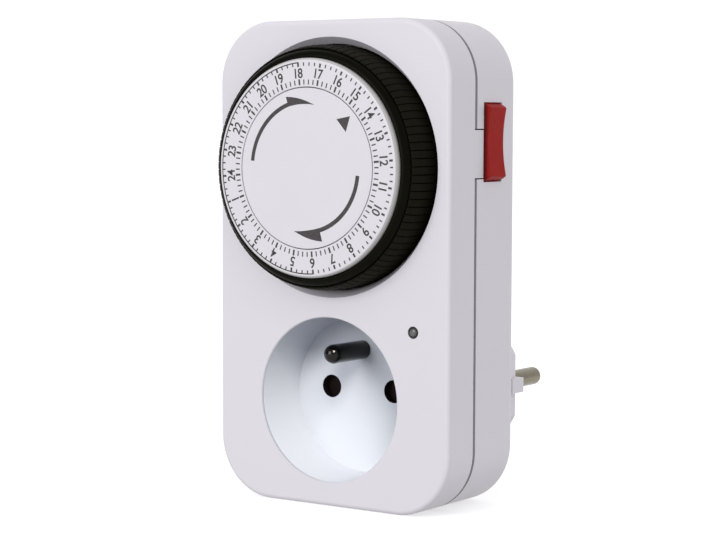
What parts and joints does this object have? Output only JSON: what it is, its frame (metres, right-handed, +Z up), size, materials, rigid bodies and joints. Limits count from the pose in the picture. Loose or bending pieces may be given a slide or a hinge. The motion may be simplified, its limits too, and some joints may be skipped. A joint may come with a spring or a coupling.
{
  "type": "plug in timer switch",
  "caption": "Mechanical day timer for a wall socket: round plug behind, earthed socket in front, turning dial with press-in tappets and a side rocker.",
  "frame": {"origin": "on the flat bottom of the housing, below the common axis plane of dial and socket, at the middle of the housing's depth", "axes": "+Z up, -Y out of the front with the dial and the socket, +Y out of the back with the plug, +X to the side with the rocker"},
  "size_m": [0.0709, 0.084, 0.12],
  "materials": {
    "shell": "fine satin moulding",
    "cup": "smooth bluish white moulding",
    "black_plastic": "satin black moulding",
    "white_plastic": "smooth printed white",
    "red_plastic": "satin red moulding",
    "nickel": "nickel plated brass",
    "brass": "plain strip",
    "steel": "zinc plated",
    "gear_plastic": "natural acetal",
    "smoked_lens": "dark translucent",
    "lamp": "neon glass and resistor",
    "coil_wrap": "taped winding"
  },
  "bodies": {
    "housing": {"front_shell": "shell", "rear_shell": "shell", "socket_cup": "cup", "earth_pin": "nickel", "shutter_cover": "cup", "shutter_spring": "steel", "contact_left": "brass", "contact_right": "brass", "plug_pin_left": "nickel", "plug_pin_right": "nickel", "earth_tube": "nickel", "earth_strap": "brass", "neutral_strip": "brass", "line_strip": "brass", "load_strip": "brass", "indicator_lens": "smoked_lens", "indicator_lamp": "lamp", "centre_cap": "white_plastic", "centre_post": "steel", "movement_plate": "gear_plastic", "gear_arbors": "steel", "motor_case": "steel", "motor_coil": "coil_wrap", "fixed_contact": "brass", "override_contact": "brass", "shell_screws": "steel"},
    "dial": {"dial_drum": "black_plastic", "dial_ring": "white_plastic", "dial_gear": "gear_plastic"},
    "gear_one": {"gear_first": "gear_plastic"},
    "gear_two": {"gear_second": "gear_plastic"},
    "motor_shaft": {"motor_pinion": "brass"},
    "trip": {"trip_lever": "gear_plastic", "moving_contact": "brass"},
    "rocker": {"override_rocker": "red_plastic"},
    "shutter_blade": {"shutter": "white_plastic"},
    "tappets_01": {"tappets_hour_01": "black_plastic"},
    "tappets_02": {"tappets_hour_02": "black_plastic"},
    "tappets_03": {"tappets_hour_03": "black_plastic"},
    "tappets_04": {"tappets_hour_04": "black_plastic"},
    "tappets_05": {"tappets_hour_05": "black_plastic"},
    "tappets_06": {"tappets_hour_06": "black_plastic"},
    "tappets_07": {"tappets_hour_07": "black_plastic"},
    "tappets_08": {"tappets_hour_08": "black_plastic"},
    "tappets_09": {"tappets_hour_09": "black_plastic"},
    "tappets_10": {"tappets_hour_10": "black_plastic"},
    "tappets_11": {"tappets_hour_11": "black_plastic"},
    "tappets_12": {"tappets_hour_12": "black_plastic"},
    "tappets_13": {"tappets_hour_13": "black_plastic"},
    "tappets_14": {"tappets_hour_14": "black_plastic"},
    "tappets_15": {"tappets_hour_15": "black_plastic"},
    "tappets_16": {"tappets_hour_16": "black_plastic"},
    "tappets_17": {"tappets_hour_17": "black_plastic"},
    "tappets_18": {"tappets_hour_18": "black_plastic"},
    "tappets_19": {"tappets_hour_19": "black_plastic"},
    "tappets_20": {"tappets_hour_20": "black_plastic"},
    "tappets_21": {"tappets_hour_21": "black_plastic"},
    "tappets_22": {"tappets_hour_22": "black_plastic"},
    "tappets_23": {"tappets_hour_23": "black_plastic"},
    "tappets_24": {"tappets_hour_24": "black_plastic"}
  },
  "joints": [
    {"name": "dial_spin", "type": "hinge", "parent": "housing", "child": "dial", "pos_m": [0, -0.00395, 0.08386], "axis": [0, 1, 0], "continuous": true},
    {"name": "gear_one_spin", "type": "hinge", "parent": "housing", "child": "gear_one", "pos_m": [-0.01633, -0.00795, 0.06753], "axis": [0, 1, 0], "continuous": true},
    {"name": "gear_two_spin", "type": "hinge", "parent": "housing", "child": "gear_two", "pos_m": [-0.00224, -0.00595, 0.0624], "axis": [0, 1, 0], "continuous": true},
    {"name": "motor_spin", "type": "hinge", "parent": "housing", "child": "motor_shaft", "pos_m": [0.00876, -0.00495, 0.0624], "axis": [0, 1, 0], "continuous": true},
    {"name": "trip_pivot", "type": "hinge", "parent": "housing", "child": "trip", "pos_m": [0.0294, -0.00555, 0.07], "axis": [-1, 0, 0], "range_deg": [0, 5], "stiffness_Nm_per_rad": 0.004, "springref_deg": -2.86},
    {"name": "rocker_pivot", "type": "hinge", "parent": "housing", "child": "rocker", "pos_m": [0.0312, 0.0037, 0.0903], "axis": [0, 1, 0], "range_deg": [0, 5]},
    {"name": "shutter_slide", "type": "slide", "parent": "housing", "child": "shutter_blade", "axis": [0, 0, -1], "range_m": [0, 0.0063], "stiffness_N_per_m": 60, "springref_m": -0.002, "deforming": ["shutter_spring"]},
    {"name": "tappets_01_press", "type": "slide", "parent": "dial", "child": "tappets_01", "axis": [0, 1, 0], "range_m": [0, 0.003]},
    {"name": "tappets_02_press", "type": "slide", "parent": "dial", "child": "tappets_02", "axis": [0, 1, 0], "range_m": [0, 0.003]},
    {"name": "tappets_03_press", "type": "slide", "parent": "dial", "child": "tappets_03", "axis": [0, 1, 0], "range_m": [0, 0.003]},
    {"name": "tappets_04_press", "type": "slide", "parent": "dial", "child": "tappets_04", "axis": [0, 1, 0], "range_m": [0, 0.003]},
    {"name": "tappets_05_press", "type": "slide", "parent": "dial", "child": "tappets_05", "axis": [0, 1, 0], "range_m": [0, 0.003]},
    {"name": "tappets_06_press", "type": "slide", "parent": "dial", "child": "tappets_06", "axis": [0, 1, 0], "range_m": [0, 0.003]},
    {"name": "tappets_07_press", "type": "slide", "parent": "dial", "child": "tappets_07", "axis": [0, 1, 0], "range_m": [0, 0.003]},
    {"name": "tappets_08_press", "type": "slide", "parent": "dial", "child": "tappets_08", "axis": [0, 1, 0], "range_m": [0, 0.003]},
    {"name": "tappets_09_press", "type": "slide", "parent": "dial", "child": "tappets_09", "axis": [0, 1, 0], "range_m": [0, 0.003]},
    {"name": "tappets_10_press", "type": "slide", "parent": "dial", "child": "tappets_10", "axis": [0, 1, 0], "range_m": [0, 0.003]},
    {"name": "tappets_11_press", "type": "slide", "parent": "dial", "child": "tappets_11", "axis": [0, 1, 0], "range_m": [0, 0.003]},
    {"name": "tappets_12_press", "type": "slide", "parent": "dial", "child": "tappets_12", "axis": [0, 1, 0], "range_m": [0, 0.003]},
    {"name": "tappets_13_press", "type": "slide", "parent": "dial", "child": "tappets_13", "axis": [0, 1, 0], "range_m": [0, 0.003]},
    {"name": "tappets_14_press", "type": "slide", "parent": "dial", "child": "tappets_14", "axis": [0, 1, 0], "range_m": [0, 0.003]},
    {"name": "tappets_15_press", "type": "slide", "parent": "dial", "child": "tappets_15", "axis": [0, 1, 0], "range_m": [0, 0.003]},
    {"name": "tappets_16_press", "type": "slide", "parent": "dial", "child": "tappets_16", "axis": [0, 1, 0], "range_m": [0, 0.003]},
    {"name": "tappets_17_press", "type": "slide", "parent": "dial", "child": "tappets_17", "axis": [0, 1, 0], "range_m": [0, 0.003]},
    {"name": "tappets_18_press", "type": "slide", "parent": "dial", "child": "tappets_18", "axis": [0, 1, 0], "range_m": [0, 0.003]},
    {"name": "tappets_19_press", "type": "slide", "parent": "dial", "child": "tappets_19", "axis": [0, 1, 0], "range_m": [0, 0.003]},
    {"name": "tappets_20_press", "type": "slide", "parent": "dial", "child": "tappets_20", "axis": [0, 1, 0], "range_m": [0, 0.003]},
    {"name": "tappets_21_press", "type": "slide", "parent": "dial", "child": "tappets_21", "axis": [0, 1, 0], "range_m": [0, 0.003]},
    {"name": "tappets_22_press", "type": "slide", "parent": "dial", "child": "tappets_22", "axis": [0, 1, 0], "range_m": [0, 0.003]},
    {"name": "tappets_23_press", "type": "slide", "parent": "dial", "child": "tappets_23", "axis": [0, 1, 0], "range_m": [0, 0.003]},
    {"name": "tappets_24_press", "type": "slide", "parent": "dial", "child": "tappets_24", "axis": [0, 1, 0], "range_m": [0, 0.003]}
  ],
  "couplings": [
    {"joint": "gear_one_spin", "follows": "dial_spin", "ratio": -6},
    {"joint": "gear_two_spin", "follows": "dial_spin", "ratio": 24},
    {"joint": "motor_spin", "follows": "dial_spin", "ratio": -108}
  ]
}
